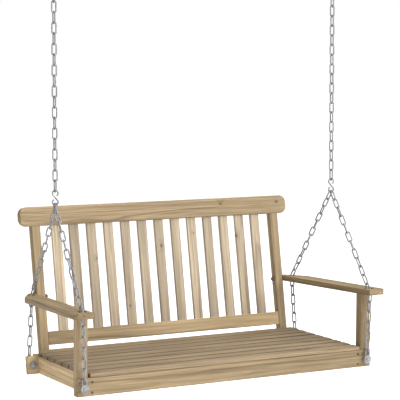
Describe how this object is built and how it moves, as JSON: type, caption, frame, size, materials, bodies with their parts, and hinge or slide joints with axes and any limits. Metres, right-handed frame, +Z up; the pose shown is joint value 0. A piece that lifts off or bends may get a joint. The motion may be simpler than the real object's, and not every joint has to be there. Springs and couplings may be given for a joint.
{
  "type": "porch swing",
  "caption": "Slatted wooden two-seat porch swing bench with a leaning back and flat arms, hung by steel chains and S-hooks from two ceiling plates.",
  "frame": {"origin": "middle of the four screw holes of the two ceiling plates, on the ceiling plane", "axes": "+Z up, X along the bench, -Y towards the side the sitter faces"},
  "size_m": [1.2108, 0.616, 1.3535],
  "materials": {
    "screw_steel": "black oxide, matt",
    "dowel_wood": "bare",
    "zinc_steel": "bright zinc plate, slightly dulled",
    "seat_slat_wood": "bare sanded softwood, matt",
    "back_slat_wood": "bare sanded softwood, matt",
    "frame_wood": "bare sanded softwood, matt"
  },
  "bodies": {
    "ceiling": {"ceiling_plate_left": "zinc_steel", "ceiling_plate_right": "zinc_steel"},
    "left_chain": {"main_chain_left": "zinc_steel"},
    "right_chain": {"main_chain_right": "zinc_steel"},
    "bench": {"apron_screws": "screw_steel", "arm_bolts": "zinc_steel", "arm_left": "frame_wood", "arm_nuts": "zinc_steel", "arm_post_left": "frame_wood", "arm_post_right": "frame_wood", "arm_right": "frame_wood", "arm_washers": "zinc_steel", "back_slat_01": "back_slat_wood", "back_slat_02": "back_slat_wood", "back_slat_03": "back_slat_wood", "back_slat_04": "back_slat_wood", "back_slat_05": "back_slat_wood", "back_slat_06": "back_slat_wood", "back_slat_07": "back_slat_wood", "back_slat_08": "back_slat_wood", "back_slat_09": "back_slat_wood", "back_slat_10": "back_slat_wood", "back_slat_11": "back_slat_wood", "back_slat_12": "back_slat_wood", "back_slat_13": "back_slat_wood", "centre_bearer": "frame_wood", "chain_nuts": "zinc_steel", "chain_spacers": "zinc_steel", "chain_washers": "zinc_steel", "dowels": "dowel_wood", "front_apron": "frame_wood", "front_chain_bolts": "zinc_steel", "front_chain_left": "zinc_steel", "front_chain_right": "zinc_steel", "lower_back_rail": "frame_wood", "post_screws": "screw_steel", "rear_chain_bolts": "zinc_steel", "rear_chain_left": "zinc_steel", "rear_chain_right": "zinc_steel", "rear_crossbar": "frame_wood", "s_hook_left": "zinc_steel", "s_hook_right": "zinc_steel", "seat_screws": "screw_steel", "seat_slat_1": "seat_slat_wood", "seat_slat_2": "seat_slat_wood", "seat_slat_3": "seat_slat_wood", "seat_slat_4": "seat_slat_wood", "seat_slat_5": "seat_slat_wood", "seat_slat_6": "seat_slat_wood", "seat_slat_7": "seat_slat_wood", "seat_slat_8": "seat_slat_wood", "side_rail_left": "frame_wood", "side_rail_right": "frame_wood", "stile_left": "frame_wood", "stile_right": "frame_wood", "stile_screws": "screw_steel", "top_rail": "frame_wood"}
  },
  "joints": [
    {"name": "left_chain_swing", "type": "hinge", "parent": "ceiling", "child": "left_chain", "pos_m": [-0.551, 0, -0.035], "axis": [1, 0, 0], "range_deg": [-25, 25]},
    {"name": "right_chain_swing", "type": "hinge", "parent": "ceiling", "child": "right_chain", "pos_m": [0.551, 0, -0.035], "axis": [1, 0, 0], "range_deg": [-25, 25]},
    {"name": "bench_swing", "type": "hinge", "parent": "left_chain", "child": "bench", "pos_m": [-0.551, 0, -0.69285], "axis": [1, 0, 0], "range_deg": [-25, 25]}
  ],
  "couplings": [
    {"joint": "right_chain_swing", "follows": "left_chain_swing", "ratio": 1}
  ]
}
